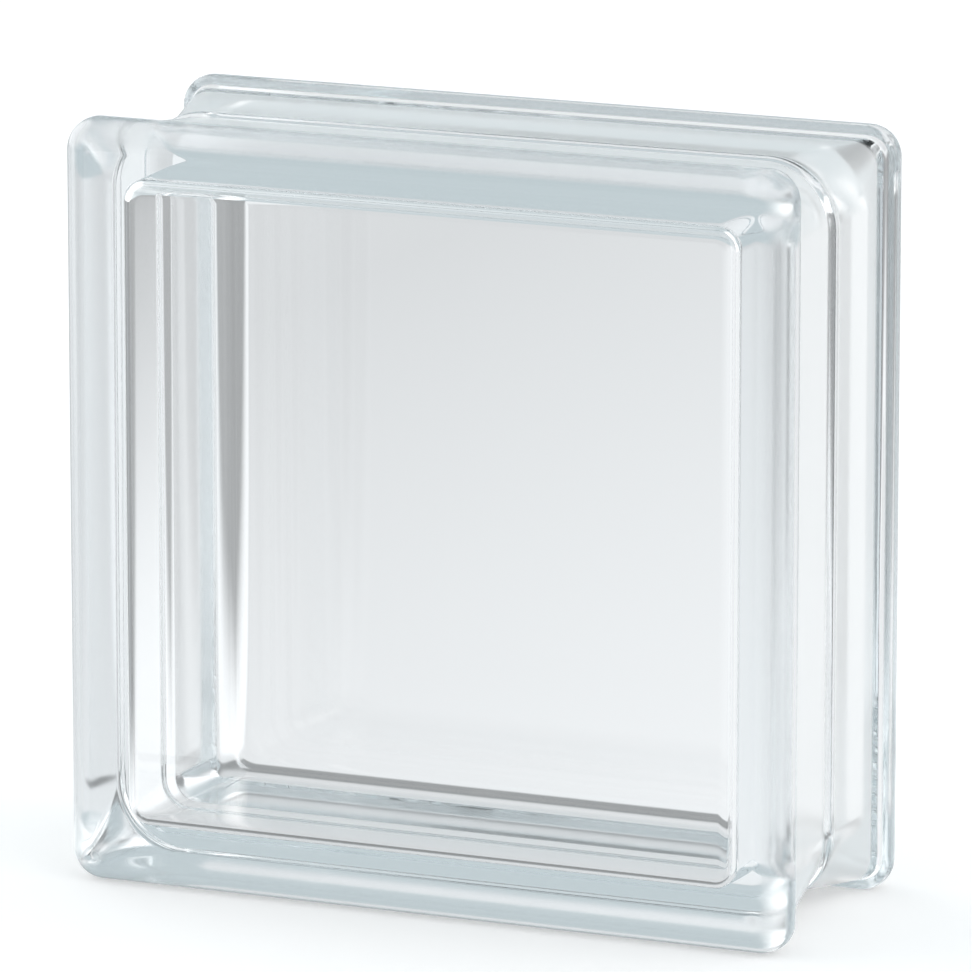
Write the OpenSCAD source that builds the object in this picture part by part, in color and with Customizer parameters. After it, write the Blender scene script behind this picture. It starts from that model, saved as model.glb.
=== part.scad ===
// Hollow pressed glass block for walls: two dished halves fused at mid depth into one sealed piece.
// X is width, Y is depth with the front face toward -Y, Z is up; all sizes in millimetres.
// The origin is the middle of the foot, on the floor the block stands on.

/* [Block] */
// Width of the face
block_w = 190; // [140:1:300]
// Height of the face
block_h = 190; // [140:1:300]
// Depth from face to face
block_d = 80; // [70:1:110]

/* [Face rim] */
// Depth of the raised rim, from the face back to the mortar groove
rim_t = 10; // [9.5:0.5:14]
// Rounding between the face and the outer side of the rim
edge_r = 7.5; // [5:0.5:8]
// Extra radius of the rim's corners beyond the edge rounding
corner_ease = 0.5; // [0.5:0.5:4]
// Rounding of the rim's inner lip, beside the groove
lip_r = 1.5; // [0.5:0.5:1.5]

/* [Mortar groove] */
// Depth of the groove below the rim at mid depth, where it is deepest
groove_depth = 4.2; // [3.6:0.2:5]
// Depth of the groove beside the rim, where the mould draft leaves it shallower
groove_rim_depth = 3; // [3:0.2:3.6]
// Fillet where the groove floor meets the rim
groove_fillet_r = 1; // [0.5:0.5:1.5]
// Corner radius of the groove floor at mid depth, where it is roundest
seam_corner_r = 16.5; // [14:0.5:24]

/* [Fused seam] */
// Width of the raised bead around the middle
bead_w = 5.5; // [3:0.5:6]
// Height of the bead above the groove floor
bead_h = 0.9; // [0.3:0.1:1]

/* [Glass thickness] */
// Thickness of each face pane
pane_t = 8; // [6:0.5:12]
// Side wall thickness beside the panes
wall_root_t = 10.3; // [8.5:0.1:13]
// How much thinner the mould draft leaves the side wall at the seam
wall_thinning = 0.5; // [0.2:0.1:3]
// Corner radius of the cavity beside the panes
cavity_corner_r = 6; // [5:0.5:9]
// Fillet between the side walls and the panes, inside the cavity
cavity_fillet_r = 4; // [2:0.5:5]

/* [Hidden] */

$fn = 96;
wall_fn = 64;
glass_rgba = [0.86, 0.93, 0.95, 0.35];
cut_margin = 1;

half_w = block_w / 2;
half_h = block_h / 2;
half_d = block_d / 2;
corner_r = edge_r + corner_ease;
rim_back = half_d - rim_t;
root_z = rim_back - groove_fillet_r;
root_corner_r = corner_r - groove_rim_depth;
wall_half_w = half_w - groove_depth;
wall_half_h = half_h - groove_depth;

// The bead is the cap of a circle that stands bead_h proud over a chord of bead_w
bead_r = (bead_w * bead_w / 4 + bead_h * bead_h) / (2 * bead_h);
bead_sink = bead_r - bead_h;
bead_bite = 0.8;

cavity_z = half_d - pane_t;
cavity_seam_r = cavity_corner_r + wall_thinning;
cavity_cx = wall_half_w - wall_root_t - cavity_corner_r;
cavity_cy = wall_half_h - wall_root_t - cavity_corner_r;
draft = atan(wall_thinning / cavity_z);
fillet_z = cavity_z - cavity_fillet_r;
fillet_x = cavity_corner_r + cavity_fillet_r * tan(draft) - cavity_fillet_r / cos(draft);

// Turns the depth axis used below to lie along Y, and stands the block on its lower rims
module standing() {
    translate([0, 0, half_h])
        rotate([90, 0, 0])
            children();
}

// Carries a section round a rectangle with rounded corners: the section's x is the distance out
// from the rectangle of corner centres, its y is depth
module carried_round(centre_x, centre_y) {
    for (turn = [0 : 90 : 270]) {
        out = turn % 180 == 0 ? centre_x : centre_y;
        along = turn % 180 == 0 ? centre_y : centre_x;
        rotate([0, 0, turn])
            translate([out, along, 0]) {
                rotate([90, 0, 0])
                    linear_extrude(2 * along)
                        children();
                rotate_extrude(angle = 90)
                    children();
            }
    }
}

// What an outward corner loses to a rounding of radius r centred on the origin
module corner_loss(r) {
    difference() {
        square(r + cut_margin);
        circle(r);
    }
}

// Half section of one rim, with its rounded face edge, its lip and the fillet down to the groove
module rim_section() {
    difference() {
        translate([0, rim_back])
            square([corner_r, rim_t]);
        translate([corner_r - edge_r, half_d - edge_r])
            corner_loss(edge_r);
        translate([corner_r - lip_r, rim_back + lip_r])
            mirror([0, 1])
                corner_loss(lip_r);
    }
    difference() {
        translate([0, root_z])
            square([root_corner_r + groove_fillet_r, groove_fillet_r]);
        translate([root_corner_r + groove_fillet_r, root_z])
            circle(groove_fillet_r);
    }
}

// One face plate: the pane and the rim round it
module face_plate() {
    centre_x = half_w - corner_r;
    centre_y = half_h - corner_r;
    carried_round(centre_x, centre_y)
        rim_section();
    translate([-centre_x, -centre_y, root_z])
        cube([2 * centre_x, 2 * centre_y, half_d - root_z]);
}

// One half of the side walls: they draft outward, and their corners open out from the round seam
// to the squarer face plate
module wall_half() {
    hull()
        for (sx = [-1, 1], sy = [-1, 1]) {
            translate([sx * (wall_half_w - seam_corner_r), sy * (wall_half_h - seam_corner_r), 0])
                cylinder(r = seam_corner_r, h = bead_w / 2, $fn = wall_fn);
            translate([sx * (half_w - corner_r), sy * (half_h - corner_r), root_z])
                cylinder(r = root_corner_r, h = groove_fillet_r, $fn = wall_fn);
        }
}

// Section of the bead where the halves are fused
module bead_section() {
    intersection() {
        translate([seam_corner_r - bead_sink, 0])
            circle(bead_r);
        translate([seam_corner_r - bead_bite, -bead_w / 2])
            square([bead_bite + bead_h + cut_margin, bead_w]);
    }
}

module seam_bead() {
    carried_round(wall_half_w - seam_corner_r, wall_half_h - seam_corner_r)
        bead_section();
}

// What the cavity's section loses to one inner fillet
module fillet_loss() {
    reach = 2 * cavity_fillet_r;
    difference() {
        translate([fillet_x, fillet_z])
            polygon([
                [0, 0],
                [reach * cos(draft), reach * sin(draft)],
                [reach, reach],
                [0, reach]
            ]);
        translate([fillet_x, fillet_z])
            circle(cavity_fillet_r);
    }
}

// Section of the sealed cavity, widest at the seam
module cavity_section() {
    difference() {
        polygon([
            [0, -cavity_z],
            [cavity_corner_r, -cavity_z],
            [cavity_seam_r, 0],
            [cavity_corner_r, cavity_z],
            [0, cavity_z]
        ]);
        fillet_loss();
        mirror([0, 1])
            fillet_loss();
    }
}

module cavity() {
    carried_round(cavity_cx, cavity_cy)
        cavity_section();
    translate([-cavity_cx, -cavity_cy, -cavity_z])
        cube([2 * cavity_cx, 2 * cavity_cy, 2 * cavity_z]);
}

module glass_block() {
    color(glass_rgba)
        standing()
            difference() {
                union() {
                    for (side = [0, 1])
                        mirror([0, 0, side]) {
                            face_plate();
                            wall_half();
                        }
                    seam_bead();
                }
                cavity();
            }
}

glass_block();
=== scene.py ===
"""Looks of a clear hollow glass block: one fused piece of pressed glass, standing on its lower rims."""

import logging
import math
from dataclasses import dataclass, field
from enum import Enum

import bmesh
import bpy
import numpy as np
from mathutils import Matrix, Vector


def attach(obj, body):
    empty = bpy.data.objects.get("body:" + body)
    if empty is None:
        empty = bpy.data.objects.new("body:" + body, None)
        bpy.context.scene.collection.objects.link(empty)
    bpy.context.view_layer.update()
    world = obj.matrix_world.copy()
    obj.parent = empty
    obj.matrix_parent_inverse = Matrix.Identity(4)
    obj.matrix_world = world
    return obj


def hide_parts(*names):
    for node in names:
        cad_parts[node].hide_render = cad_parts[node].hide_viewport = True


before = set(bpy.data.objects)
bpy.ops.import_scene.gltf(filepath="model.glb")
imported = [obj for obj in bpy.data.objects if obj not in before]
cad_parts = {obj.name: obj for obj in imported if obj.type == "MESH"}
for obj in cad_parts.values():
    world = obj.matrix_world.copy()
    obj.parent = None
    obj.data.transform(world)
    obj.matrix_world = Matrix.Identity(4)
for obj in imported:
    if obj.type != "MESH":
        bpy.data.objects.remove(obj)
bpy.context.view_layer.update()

LOG = logging.getLogger("glass_block")
MM = 0.001
IMAGE_PX = 972
LIGHT_BOUNCES = 30
THROUGH_BOUNCES = 20
MIRROR_BOUNCES = 24


class Skin(Enum):
    """Which face of the glass a skin is: the outside, or the wall of the sealed cavity."""

    OUTSIDE = "outside"
    CAVITY = "cavity"


def linear_rgb(hex_colour: str) -> tuple[float, float, float]:
    """Turns an sRGB hex colour into linear light.

    Args:
        hex_colour: six hex digits with a leading hash mark.

    Returns:
        Red, green and blue in linear light, from 0 to 1.
    """
    parts = [int(hex_colour[i : i + 2], 16) / 255 for i in (1, 3, 5)]
    return tuple(p / 12.92 if p <= 0.04045 else ((p + 0.055) / 1.055) ** 2.4 for p in parts)


def rgba(hex_colour: str) -> tuple[float, float, float, float]:
    """Gives a hex colour as an opaque linear RGBA value."""
    return (*linear_rgb(hex_colour), 1.0)


def add_node(
    tree: bpy.types.NodeTree, kind: str, inputs: dict | None = None, **settings: object
) -> bpy.types.Node:
    """Adds a node with its settings and its links.

    Args:
        tree: the node tree to add to.
        kind: Blender's type name of the node.
        inputs: socket name or index, to a plain value, to the output socket that feeds it, or to the
            node whose first output feeds it.
        **settings: the node's own properties.

    Returns:
        The new node.
    """
    node = tree.nodes.new(kind)
    for name, value in settings.items():
        setattr(node, name, value)
    for key, value in (inputs or {}).items():
        if isinstance(value, bpy.types.Node):
            value = value.outputs[0]
        if isinstance(value, bpy.types.NodeSocket):
            tree.links.new(value, node.inputs[key])
        else:
            node.inputs[key].default_value = value
    return node


def arc(centre: tuple[float, float], radius: float, start: float, end: float, steps: int) -> list:
    """Points on a circular arc, both ends included.

    Args:
        centre: centre of the arc.
        radius: radius of the arc.
        start: first angle in degrees.
        end: last angle in degrees.
        steps: number of spans between the ends.

    Returns:
        A list of (x, y) points.
    """
    angles = np.radians(np.linspace(start, end, steps + 1))
    return [(centre[0] + radius * math.cos(t), centre[1] + radius * math.sin(t)) for t in angles]


@dataclass(frozen=True)
class PressedGlass:
    """Pressed soda-lime glass: fire-polished faces, frosted rims, satin sides for the mortar to grip.

    The mesh holds a share of satin: up to milky_from it only roughens the glass, and above that it
    also makes it milky.
    """

    name: str = "pressed_soda_lime_glass"
    body_tint: str = "#CFDFE4"
    absorption_per_m: float = 2.6
    ior: float = 1.52
    satin_roughness: float = 0.2
    inside_roughness: float = 0.1
    satin_milk: float = 0.5
    inside_milk: float = 0.04
    milky_from: float = 0.5
    mottle_mm: float = 9.0
    mottle_limits: tuple[float, float] = (0.3, 0.7)
    mottle_share: float = 0.12
    wave_mm: float = 38.0
    wave_depth_mm: float = 0.03

    def material(self) -> bpy.types.Material:
        """Builds the glass as one node material.

        Returns:
            The finished material.
        """
        material = bpy.data.materials.new(self.name)
        material.use_nodes = True
        tree = material.node_tree
        tree.nodes.clear()
        place = add_node(tree, "ShaderNodeTexCoord").outputs["Object"]
        # The mould leaves the sides satin: the eye sees an even soft white there and no sharp lines behind
        satin = add_node(tree, "ShaderNodeAttribute", attribute_name="satin")
        mottle = add_node(tree, "ShaderNodeTexNoise", {"Vector": place, "Scale": 1.0 / (self.mottle_mm * MM)})
        uneven = add_node(
            tree,
            "ShaderNodeMapRange",
            {
                0: mottle,
                1: self.mottle_limits[0],
                2: self.mottle_limits[1],
                3: 1 - self.mottle_share,
                4: 1 + self.mottle_share,
            },
        )
        # Light that reaches the satin from within the glass mostly passes on, so its haze is an outside one
        side = add_node(tree, "ShaderNodeNewGeometry").outputs["Backfacing"]
        grain = add_node(
            tree, "ShaderNodeMapRange", {0: side, 3: self.satin_roughness, 4: self.inside_roughness}
        )
        frost = add_node(tree, "ShaderNodeMapRange", {0: satin.outputs["Fac"], 2: self.milky_from})
        frosted = add_node(tree, "ShaderNodeMath", {0: frost, 1: grain}, operation="MULTIPLY")
        rough = add_node(tree, "ShaderNodeMath", {0: frosted, 1: uneven}, operation="MULTIPLY")
        haze = add_node(tree, "ShaderNodeMapRange", {0: side, 3: -self.satin_milk, 4: -self.inside_milk})
        coat = add_node(tree, "ShaderNodeMapRange", {0: satin.outputs["Fac"], 1: self.milky_from})
        clear = add_node(tree, "ShaderNodeMath", {0: coat, 1: haze, 2: 1.0}, operation="MULTIPLY_ADD")
        # Pressing leaves long shallow waves: the dark lines at the cavity's edges run a little uneven
        wave = add_node(tree, "ShaderNodeTexNoise", {"Vector": place, "Scale": 1.0 / (self.wave_mm * MM)})
        relief = add_node(
            tree,
            "ShaderNodeBump",
            {"Height": wave, "Strength": 1.0, "Distance": self.wave_depth_mm * MM},
        )
        glass = add_node(
            tree,
            "ShaderNodeBsdfPrincipled",
            {
                "Base Color": (1.0, 1.0, 1.0, 1.0),
                "Roughness": rough,
                "IOR": self.ior,
                "Transmission Weight": clear,
                "Normal": relief,
            },
        )
        depth = add_node(
            tree,
            "ShaderNodeVolumeAbsorption",
            {"Color": rgba(self.body_tint), "Density": self.absorption_per_m},
        )
        add_node(tree, "ShaderNodeOutputMaterial", {"Surface": glass, "Volume": depth})
        return material


@dataclass
class CarriedSection:
    """A half section that is carried round a square with rounded corners by one node tree."""

    steps_around: int = 240
    straight_share: float = 0.2
    merge_m: float = 2e-6
    tree: bpy.types.NodeTree = field(init=False)

    def __post_init__(self) -> None:
        """Builds the tree once, for every skin that uses it."""
        self.tree = self.build_tree()

    def build_tree(self) -> bpy.types.NodeTree:
        """Builds the tree: a grid whose rows are the section's points and whose columns go round.

        Each section point holds its distance out from the block's axis, its depth and its corner radius.

        Returns:
            The node tree, with named inputs for its sizes.
        """
        tree = bpy.data.node_groups.new("section_carried_round", "GeometryNodeTree")
        for name, kind in (
            ("Section", "NodeSocketGeometry"),
            ("Steps Around", "NodeSocketInt"),
            ("Straight Share", "NodeSocketFloat"),
            ("Centre Height", "NodeSocketFloat"),
            ("Merge Distance", "NodeSocketFloat"),
            ("Inside Out", "NodeSocketBool"),
            ("Glass", "NodeSocketMaterial"),
        ):
            tree.interface.new_socket(name, in_out="INPUT", socket_type=kind)
        tree.interface.new_socket("Skin", in_out="OUTPUT", socket_type="NodeSocketGeometry")

        given = add_node(tree, "NodeGroupInput").outputs
        steps, straight = given["Steps Around"], given["Straight Share"]
        points = add_node(tree, "GeometryNodeAttributeDomainSize", {"Geometry": given["Section"]})
        columns = add_node(tree, "ShaderNodeMath", {0: steps, 1: 1.0}, operation="ADD")
        grid = add_node(
            tree,
            "GeometryNodeMeshGrid",
            {"Vertices X": points.outputs["Point Count"], "Vertices Y": columns},
        )
        index = add_node(tree, "GeometryNodeInputIndex")
        middle = add_node(tree, "ShaderNodeMath", {0: index, 1: 0.5}, operation="ADD")
        rows = add_node(tree, "ShaderNodeMath", {0: middle, 1: columns}, operation="DIVIDE")
        row = add_node(tree, "ShaderNodeMath", {0: rows}, operation="FLOOR")
        passed = add_node(tree, "ShaderNodeMath", {0: row, 1: columns}, operation="MULTIPLY")
        column = add_node(tree, "ShaderNodeMath", {0: index, 1: passed}, operation="SUBTRACT")
        place = add_node(tree, "GeometryNodeInputPosition")
        section_point = add_node(
            tree,
            "GeometryNodeSampleIndex",
            {"Geometry": given["Section"], "Value": place, "Index": row},
            data_type="FLOAT_VECTOR",
            domain="POINT",
        )
        satin = add_node(tree, "GeometryNodeInputNamedAttribute", {"Name": "satin"}, data_type="FLOAT")
        section_satin = add_node(
            tree,
            "GeometryNodeSampleIndex",
            {"Geometry": given["Section"], "Value": satin, "Index": row},
            data_type="FLOAT",
            domain="POINT",
        )
        out, depth, radius = add_node(tree, "ShaderNodeSeparateXYZ", {0: section_point}).outputs
        sides = add_node(tree, "ShaderNodeMath", {0: column, 1: 4.0}, operation="MULTIPLY")
        way = add_node(tree, "ShaderNodeMath", {0: sides, 1: steps}, operation="DIVIDE")
        nudged = add_node(tree, "ShaderNodeMath", {0: way, 1: 1e-4}, operation="ADD")
        quarter = add_node(tree, "ShaderNodeMath", {0: nudged}, operation="FLOOR")
        part = add_node(tree, "ShaderNodeMath", {0: way, 1: quarter}, operation="SUBTRACT")
        bend_end = add_node(tree, "ShaderNodeMath", {0: 1.0, 1: straight}, operation="SUBTRACT")
        rise = add_node(tree, "ShaderNodeMapRange", {0: part, 1: 0.0, 2: straight, 3: 0.0, 4: 1.0})
        fall = add_node(tree, "ShaderNodeMapRange", {0: part, 1: bend_end, 2: 1.0, 3: 1.0, 4: 0.0})
        turn = add_node(
            tree, "ShaderNodeMapRange", {0: part, 1: straight, 2: bend_end, 3: 0.0, 4: math.pi / 2}
        )
        flat = add_node(tree, "ShaderNodeMath", {0: out, 1: radius}, operation="SUBTRACT")
        cosine = add_node(tree, "ShaderNodeMath", {0: turn}, operation="COSINE")
        sine = add_node(tree, "ShaderNodeMath", {0: turn}, operation="SINE")
        bend_x = add_node(tree, "ShaderNodeMath", {0: radius, 1: cosine}, operation="MULTIPLY")
        bend_z = add_node(tree, "ShaderNodeMath", {0: radius, 1: sine}, operation="MULTIPLY")
        across = add_node(tree, "ShaderNodeMath", {0: flat, 1: fall, 2: bend_x}, operation="MULTIPLY_ADD")
        upward = add_node(tree, "ShaderNodeMath", {0: flat, 1: rise, 2: bend_z}, operation="MULTIPLY_ADD")
        local = add_node(tree, "ShaderNodeCombineXYZ", {0: across, 1: depth, 2: upward})
        angle = add_node(tree, "ShaderNodeMath", {0: quarter, 1: -math.pi / 2}, operation="MULTIPLY")
        turned = add_node(
            tree, "ShaderNodeVectorRotate", {"Vector": local, "Angle": angle}, rotation_type="Y_AXIS"
        )
        lift = add_node(tree, "ShaderNodeCombineXYZ", {2: given["Centre Height"]})
        spot = add_node(tree, "ShaderNodeVectorMath", {0: turned, 1: lift}, operation="ADD")
        shaped = add_node(tree, "GeometryNodeSetPosition", {"Geometry": grid, "Position": spot})
        marked = add_node(
            tree,
            "GeometryNodeStoreNamedAttribute",
            {"Geometry": shaped, "Name": "satin", "Value": section_satin},
            data_type="FLOAT",
            domain="POINT",
        )
        closed = add_node(
            tree, "GeometryNodeMergeByDistance", {"Geometry": marked, "Distance": given["Merge Distance"]}
        )
        flipped = add_node(tree, "GeometryNodeFlipFaces", {"Mesh": closed})
        facing = add_node(
            tree,
            "GeometryNodeSwitch",
            {"Switch": given["Inside Out"], "False": closed, "True": flipped},
            input_type="GEOMETRY",
        )
        smooth = add_node(tree, "GeometryNodeSetShadeSmooth", {"Geometry": facing})
        whole = add_node(tree, "GeometryNodeRealizeInstances", {"Geometry": smooth})
        dressed = add_node(
            tree, "GeometryNodeSetMaterial", {"Geometry": whole, "Material": given["Glass"]}
        )
        add_node(tree, "NodeGroupOutput", {"Skin": dressed})
        return tree

    def skin(
        self, section: np.ndarray, kind: Skin, centre_height: float, glass: bpy.types.Material
    ) -> bpy.types.Mesh:
        """Carries a section round and gives the closed skin as a plain mesh.

        Args:
            section: rows of distance out, depth and corner radius in metres, and the share of satin.
            kind: which face of the glass this is.
            centre_height: height of the block's axis above the floor.
            glass: the material to set.

        Returns:
            A mesh whose faces point out of the glass.
        """
        line = bpy.data.meshes.new(f"{kind.value}_section")
        spans = [(i, i + 1) for i in range(len(section) - 1)]
        line.from_pydata([tuple(p) for p in section[:, :3]], spans, [])
        line.attributes.new("satin", "FLOAT", "POINT").data.foreach_set("value", section[:, 3])
        holder = bpy.data.objects.new(f"{kind.value}_skin", line)
        bpy.context.scene.collection.objects.link(holder)
        modifier = holder.modifiers.new("carry", "NODES")
        modifier.node_group = self.tree
        wanted = {
            "Steps Around": self.steps_around,
            "Straight Share": self.straight_share,
            "Centre Height": centre_height,
            "Merge Distance": self.merge_m,
            "Inside Out": kind is Skin.CAVITY,
            "Glass": glass,
        }
        for item in self.tree.interface.items_tree:
            if item.in_out == "INPUT" and item.name in wanted:
                modifier[item.identifier] = wanted[item.name]
        depsgraph = bpy.context.evaluated_depsgraph_get()
        mesh = bpy.data.meshes.new_from_object(holder.evaluated_get(depsgraph), depsgraph=depsgraph)
        bpy.data.objects.remove(holder)
        return mesh


@dataclass
class GlassBlock:
    """The block: two dished halves fused into one hollow piece. All sizes are in millimetres."""

    width: float = 190.0
    depth: float = 80.0
    rim_t: float = 10.0
    edge_r: float = 7.5
    corner_r: float = 8.0
    lip_r: float = 1.5
    groove_depth: float = 4.2
    groove_rim_depth: float = 3.0
    groove_fillet_r: float = 1.0
    seam_corner_r: float = 16.5
    bead_w: float = 5.5
    bead_h: float = 0.9
    pane_t: float = 8.0
    wall_root_t: float = 10.3
    wall_seam_t: float = 9.8
    cavity_corner_r: float = 6.0
    cavity_fillet_r: float = 4.0
    pane_rows: int = 20
    pane_support: float = 0.25
    edge_steps: int = 24
    lip_steps: int = 10
    cavity_steps: int = 16
    wall_rows: int = 15
    bead_rows: int = 9
    satin_depths: tuple[float, ...] = (2.2, 3.0, 25.5, 27.0, 30.2, 30.6, 39.6, 40.0)
    satin_shares: tuple[float, ...] = (0.25, 1.0, 1.0, 0.0, 0.0, 0.5, 0.5, 0.0)
    finish: PressedGlass = PressedGlass()

    def pane_row(self, reach: float, depth: float, corner: float) -> list:
        """Section points of a flat pane, from its centre to just inside its edge.

        Args:
            reach: half width of the flat pane.
            depth: depth at which it lies.
            corner: corner radius at its edge.

        Returns:
            Rows of distance out, depth and corner radius.
        """
        last = reach - self.pane_support
        outs = [*np.linspace(0.0, reach - 4 * self.pane_support, self.pane_rows), last]
        return [(out, depth, corner * out / reach) for out in outs]

    def outside_section(self) -> np.ndarray:
        """Section of the outside, from the middle of the front pane to the middle of the rear one.

        Returns:
            Rows of distance out, depth and corner radius in metres, and the share of satin.
        """
        half, deep = self.width / 2, self.depth / 2
        centre = half - self.corner_r
        back = -(deep - self.rim_t)
        floor, root_out = half - self.groove_depth, half - self.groove_rim_depth
        rim = arc((half - self.edge_r, -(deep - self.edge_r)), self.edge_r, -90, 0, self.edge_steps)
        rim += arc((half - self.lip_r, back - self.lip_r), self.lip_r, 0, 90, self.lip_steps)
        fillet = (root_out + self.groove_fillet_r, back + self.groove_fillet_r)
        rim += arc(fillet, self.groove_fillet_r, 270, 180, self.lip_steps)
        front = self.pane_row(half - self.edge_r, -deep, self.corner_r - self.edge_r)
        front += [(out, y, out - centre) for out, y in rim]
        seam_edge = -self.bead_w / 2
        root = np.array((root_out, rim[-1][1], root_out - centre))
        seam = np.array((floor, seam_edge, self.seam_corner_r))
        front += [tuple(root + (seam - root) * t) for t in np.linspace(0, 1, self.wall_rows)[1:]]
        bead_r = (self.bead_w**2 / 4 + self.bead_h**2) / (2 * self.bead_h)
        for y in np.linspace(seam_edge, 0, self.bead_rows)[1:]:
            rise = math.sqrt(bead_r**2 - y**2) - (bead_r - self.bead_h)
            front.append((floor + rise, y, self.seam_corner_r + rise))
        return self.both_halves(front, Skin.OUTSIDE)

    def cavity_section(self) -> np.ndarray:
        """Section of the cavity's wall, from the middle of one pane to the middle of the other.

        Returns:
            Rows of distance out, depth and corner radius in metres, and the share of satin.
        """
        half, deep = self.width / 2, self.depth / 2
        reach = half - self.groove_depth - self.wall_root_t
        centre = reach - self.cavity_corner_r
        pane = deep - self.pane_t
        widening = self.wall_root_t - self.wall_seam_t
        draft = math.atan(widening / pane)
        fillet_out = reach + self.cavity_fillet_r * (math.tan(draft) - 1 / math.cos(draft))
        fillet = (fillet_out, -(pane - self.cavity_fillet_r))
        rounding = arc(fillet, self.cavity_fillet_r, -90, -math.degrees(draft), self.cavity_steps)
        front = self.pane_row(fillet_out, -pane, fillet_out - centre)
        front += [(out, y, out - centre) for out, y in rounding]
        start_out, start_y = rounding[-1]
        seam_out = reach + widening
        for t in np.linspace(0, 1, self.wall_rows)[1:]:
            out = start_out + (seam_out - start_out) * t
            front.append((out, start_y * (1 - t), out - centre))
        return self.both_halves(front, Skin.CAVITY)

    def both_halves(self, front: list, kind: Skin) -> np.ndarray:
        """Adds the mirrored rear half to a front half that ends at the seam.

        Args:
            front: rows of the front half, in millimetres.
            kind: which face of the glass this is; only the outside has satin sides.

        Returns:
            Rows of distance out, depth and corner radius in metres, and the share of satin.
        """
        ahead = np.array(front)
        behind = ahead[-2::-1] * (1, -1, 1)
        whole = np.vstack([ahead, behind])
        satin = np.zeros(len(whole))
        if kind is Skin.OUTSIDE:
            satin = np.interp(np.abs(whole[:, 1]), self.satin_depths, self.satin_shares)
        return np.column_stack([whole * MM, satin])

    def build(self) -> bpy.types.Object:
        """Makes the outside and the cavity, joins them and dresses the block in its glass.

        Returns:
            The finished block.
        """
        glass = self.finish.material()
        carrier = CarriedSection()
        height = self.width / 2 * MM
        both = bmesh.new()
        for kind, section in (
            (Skin.OUTSIDE, self.outside_section()),
            (Skin.CAVITY, self.cavity_section()),
        ):
            both.from_mesh(carrier.skin(section, kind, height, glass))
        mesh = bpy.data.meshes.new("pressed_glass_block")
        both.to_mesh(mesh)
        both.free()
        mesh.materials.clear()
        mesh.materials.append(glass)
        mesh.shade_smooth()
        block = bpy.data.objects.new("pressed_glass_block", mesh)
        bpy.context.scene.collection.objects.link(block)
        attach(block, "root")
        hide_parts("glass_block")
        LOG.info("%s: %d faces", block.name, len(mesh.polygons))
        return block


@dataclass(frozen=True)
class Panel:
    """A broad soft zone of the studio: a lit panel, or a flag that takes light away."""

    azimuth_deg: float
    elevation_deg: float
    inner_deg: float
    outer_deg: float
    level: float
    tone: str

    def light(self) -> tuple[float, float, float, float]:
        """Gives the zone's light: its tint at its level."""
        return (*(self.level * part for part in linear_rgb(self.tone)), 1.0)

    def direction(self) -> tuple[float, float, float]:
        """Gives the unit vector from the block to the zone's middle; azimuth 0 is +X, 90 is +Y."""
        turn, lift = math.radians(self.azimuth_deg), math.radians(self.elevation_deg)
        return (math.cos(lift) * math.cos(turn), math.cos(lift) * math.sin(turn), math.sin(lift))


@dataclass(frozen=True)
class ShadeStrip:
    """A strip of painted shade across the floor: full within inner_m of its line, gone at outer_m."""

    y_m: float
    inner_m: float
    outer_m: float
    tone: float


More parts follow.
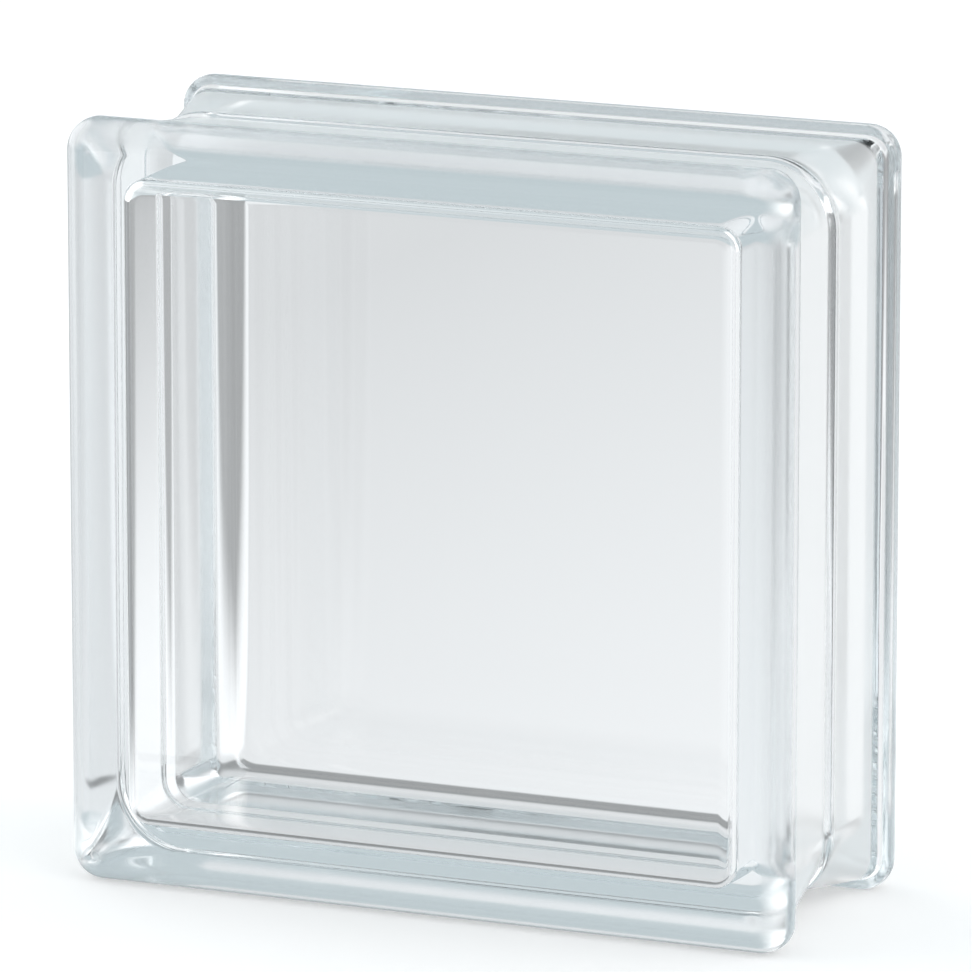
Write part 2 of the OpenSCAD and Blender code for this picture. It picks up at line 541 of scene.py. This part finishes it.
@dataclass
class Studio:
    """A pale floor, soft light from all round and the camera at the photograph's viewing angle.

    The glass shows the floor in painted light and shade of its own, fitted to the photograph: along a line
    that runs left_run to the side for each metre from the X axis a painted pool of light lifts it left of
    spill_m and painted shade fades it to left_tone left of left_edge_m. A painted slope lightens it to the
    right, and the strips paint shadows on it.
    """

    azimuth_deg: float = 23.75
    elevation_deg: float = 12.51
    distance_m: float = 2.236
    target_m: tuple[float, float, float] = (0.0, 0.0, 0.095)
    focal_px: float = 9189.0
    principal_px: tuple[float, float] = (483.5, 504.7)
    sensor_mm: float = 36.0
    clip_m: tuple[float, float] = (0.05, 50.0)
    floor_m: float = 8.0
    floor_grey: float = 0.8
    floor_glow: float = 0.35
    # Painted light and shade of the floor where the glass shows it: painted shade to the left, a painted pool
    # of light, a painted slope, painted shade under the block and painted shadow strips
    left_run: float = 0.44
    left_edge_m: tuple[float, float] = (-0.26, -0.12)
    left_tone: float = 0.35
    spill_m: tuple[float, float] = (-0.097, -0.084)
    spill: float = 1.35
    foot_half_m: tuple[float, float, float] = (0.095, 0.04, 0.0)
    under_m: float = 0.008
    under_tone: float = 0.8
    strips: tuple[ShadeStrip, ...] = (
        ShadeStrip(-0.035, 0.002, 0.006, 0.35),
        ShadeStrip(0.047, 0.004, 0.009, 0.3),
    )
    paper_tint: str = "#FAFDFF"
    slope_m: tuple[float, float] = (-0.35, 0.10)
    slope_tones: tuple[float, float] = (0.74, 0.985)
    room_tone: str = "#C8D3D7"
    panels: tuple[Panel, ...] = (
        Panel(0.0, 15.0, 20.0, 65.0, 1.6, "#FFFFFF"),
        Panel(180.0, 15.0, 20.0, 60.0, 1.7, "#FFFFFF"),
        Panel(-90.0, 0.0, 20.0, 50.0, 0.5, "#F0F5F8"),
    )

    def build(self) -> None:
        """Sets up the floor, the light and the camera."""
        self.floor()
        self.world()
        self.camera()

    def floor(self) -> None:
        """Lays the floor."""
        half = self.floor_m / 2
        mesh = bpy.data.meshes.new("floor")
        corners = [(-half, -half, 0), (half, -half, 0), (half, half, 0), (-half, half, 0)]
        mesh.from_pydata(corners, [], [(0, 1, 2, 3)])
        material = bpy.data.materials.new("white_paper_floor")
        material.use_nodes = True
        tree = material.node_tree
        tree.nodes.clear()
        path = add_node(tree, "ShaderNodeLightPath").outputs
        in_glass = add_node(
            tree,
            "ShaderNodeMath",
            {0: path["Is Glossy Ray"], 1: path["Is Transmission Ray"]},
            operation="MAXIMUM",
        )
        tone = self.painted_light_in_glass(tree)
        grey = (self.floor_grey, self.floor_grey, self.floor_grey, 1.0)
        paper = add_node(tree, "ShaderNodeBsdfDiffuse", {"Color": grey})
        glow = add_node(
            tree, "ShaderNodeEmission", {"Color": (1.0, 1.0, 1.0, 1.0), "Strength": self.floor_glow}
        )
        lit = add_node(tree, "ShaderNodeAddShader", {0: paper, 1: glow})
        # Glossy and transmission rays see the floor as painted light and shade: an emission at the painted
        # tone
        through = add_node(tree, "ShaderNodeEmission", {"Color": rgba(self.paper_tint), "Strength": tone})
        direct = add_node(tree, "ShaderNodeMixShader", {0: path["Is Camera Ray"], 1: paper, 2: lit})
        mixed = add_node(tree, "ShaderNodeMixShader", {0: in_glass, 1: direct, 2: through})
        add_node(tree, "ShaderNodeOutputMaterial", {"Surface": mixed})
        mesh.materials.append(material)
        floor = bpy.data.objects.new("floor", mesh)
        bpy.context.scene.collection.objects.link(floor)

    def painted_light_in_glass(self, tree: bpy.types.NodeTree) -> bpy.types.Node:
        """Adds the nodes that paint light and shade on the floor where the glass shows it.

        Args:
            tree: the floor material's node tree.

        Returns:
            The node whose output is the tone.
        """
        # Painted light and shade: lighter to the right as if lit from there, a painted pool of light just
        # left of the block, and painted shade on the left beside the frame
        place = add_node(tree, "ShaderNodeTexCoord").outputs["Object"]
        across, backward, _ = add_node(tree, "ShaderNodeSeparateXYZ", {0: place}).outputs
        axes = add_node(tree, "ShaderNodeVectorMath", {0: place}, operation="ABSOLUTE")
        off_axis = add_node(tree, "ShaderNodeSeparateXYZ", {0: axes}).outputs["Y"]
        aslant = add_node(
            tree, "ShaderNodeMath", {0: off_axis, 1: self.left_run, 2: across}, operation="MULTIPLY_ADD"
        )
        painted_left_shade = add_node(
            tree,
            "ShaderNodeMapRange",
            {0: aslant, 1: self.left_edge_m[0], 2: self.left_edge_m[1], 3: self.left_tone, 4: 1.0},
            interpolation_type="SMOOTHSTEP",
        )
        spill = add_node(
            tree,
            "ShaderNodeMapRange",
            {0: aslant, 1: self.spill_m[0], 2: self.spill_m[1], 3: self.spill, 4: 1.0},
        )
        slope = add_node(
            tree,
            "ShaderNodeMapRange",
            {
                0: across,
                1: self.slope_m[0],
                2: self.slope_m[1],
                3: self.slope_tones[0],
                4: self.slope_tones[1],
            },
        )
        painted_left_light_and_shade = add_node(tree, "ShaderNodeMath", {0: painted_left_shade, 1: spill}, operation="MULTIPLY")
        fade = add_node(tree, "ShaderNodeMath", {0: painted_left_light_and_shade, 1: slope}, operation="MULTIPLY")
        # Painted shade below the block, and painted shadow strips darkest right under its front rim and just
        # behind it
        beyond = add_node(
            tree, "ShaderNodeVectorMath", {0: axes, 1: self.foot_half_m}, operation="SUBTRACT"
        )
        beside, ahead, _ = add_node(tree, "ShaderNodeSeparateXYZ", {0: beyond}).outputs
        off_foot = add_node(tree, "ShaderNodeMath", {0: beside, 1: ahead}, operation="MAXIMUM")
        under = add_node(
            tree,
            "ShaderNodeMapRange",
            {0: off_foot, 1: 0.0, 2: self.under_m, 3: self.under_tone, 4: 1.0},
            interpolation_type="SMOOTHSTEP",
        )
        contact = under
        for strip in self.strips:
            from_line = add_node(tree, "ShaderNodeMath", {0: backward, 1: strip.y_m}, operation="SUBTRACT")
            aside = add_node(tree, "ShaderNodeMath", {0: from_line}, operation="ABSOLUTE")
            off_strip = add_node(tree, "ShaderNodeMath", {0: beside, 1: aside}, operation="MAXIMUM")
            shade = add_node(
                tree,
                "ShaderNodeMapRange",
                {0: off_strip, 1: strip.inner_m, 2: strip.outer_m, 3: strip.tone, 4: 1.0},
                interpolation_type="SMOOTHSTEP",
            )
            contact = add_node(tree, "ShaderNodeMath", {0: contact, 1: shade}, operation="MULTIPLY")
        return add_node(tree, "ShaderNodeMath", {0: fade, 1: contact}, operation="MULTIPLY")

    def world(self) -> None:
        """Lights the scene from a grey studio with broad soft panels and soft dark flags round it."""
        world = bpy.data.worlds.new("studio")
        world.use_nodes = True
        tree = world.node_tree
        tree.nodes.clear()
        ray = add_node(tree, "ShaderNodeTexCoord").outputs["Generated"]
        seen = rgba(self.room_tone)
        for panel in self.panels:
            facing = add_node(
                tree, "ShaderNodeVectorMath", {0: ray, 1: panel.direction()}, operation="DOT_PRODUCT"
            )
            share = add_node(
                tree,
                "ShaderNodeMapRange",
                {
                    0: facing.outputs["Value"],
                    1: math.cos(math.radians(panel.outer_deg)),
                    2: math.cos(math.radians(panel.inner_deg)),
                },
                interpolation_type="SMOOTHSTEP",
            )
            mixed = add_node(
                tree, "ShaderNodeMix", {0: share, 6: seen, 7: panel.light()}, data_type="RGBA"
            )
            seen = mixed.outputs[2]
        light = add_node(tree, "ShaderNodeBackground", {"Color": seen, "Strength": 1.0})
        add_node(tree, "ShaderNodeOutputWorld", {"Surface": light})
        bpy.context.scene.world = world

    def camera(self) -> None:
        """Puts the camera at the photograph's viewing angle, with its framing."""
        turn, tilt = math.radians(self.azimuth_deg), math.radians(self.elevation_deg)
        back = Vector(
            (math.sin(turn) * math.cos(tilt), -math.cos(turn) * math.cos(tilt), math.sin(tilt))
        )
        data = bpy.data.cameras.new("camera")
        data.sensor_width = self.sensor_mm
        data.lens = data.sensor_width * self.focal_px / IMAGE_PX
        data.shift_x = (IMAGE_PX / 2 - self.principal_px[0]) / IMAGE_PX
        data.shift_y = (self.principal_px[1] - IMAGE_PX / 2) / IMAGE_PX
        data.clip_start, data.clip_end = self.clip_m
        camera = bpy.data.objects.new("camera", data)
        camera.location = Vector(self.target_m) + back * self.distance_m
        camera.rotation_mode = "QUATERNION"
        camera.rotation_quaternion = (-back).to_track_quat("-Z", "Y")
        bpy.context.scene.collection.objects.link(camera)
        bpy.context.scene.camera = camera


def main() -> None:
    logging.basicConfig(level=logging.INFO)
    scene = bpy.context.scene
    scene.view_settings.view_transform = "Standard"
    scene.cycles.max_bounces = LIGHT_BOUNCES
    scene.cycles.transmission_bounces = THROUGH_BOUNCES
    scene.cycles.glossy_bounces = MIRROR_BOUNCES
    GlassBlock().build()
    Studio().build()


if __name__ == "__main__":
    main()
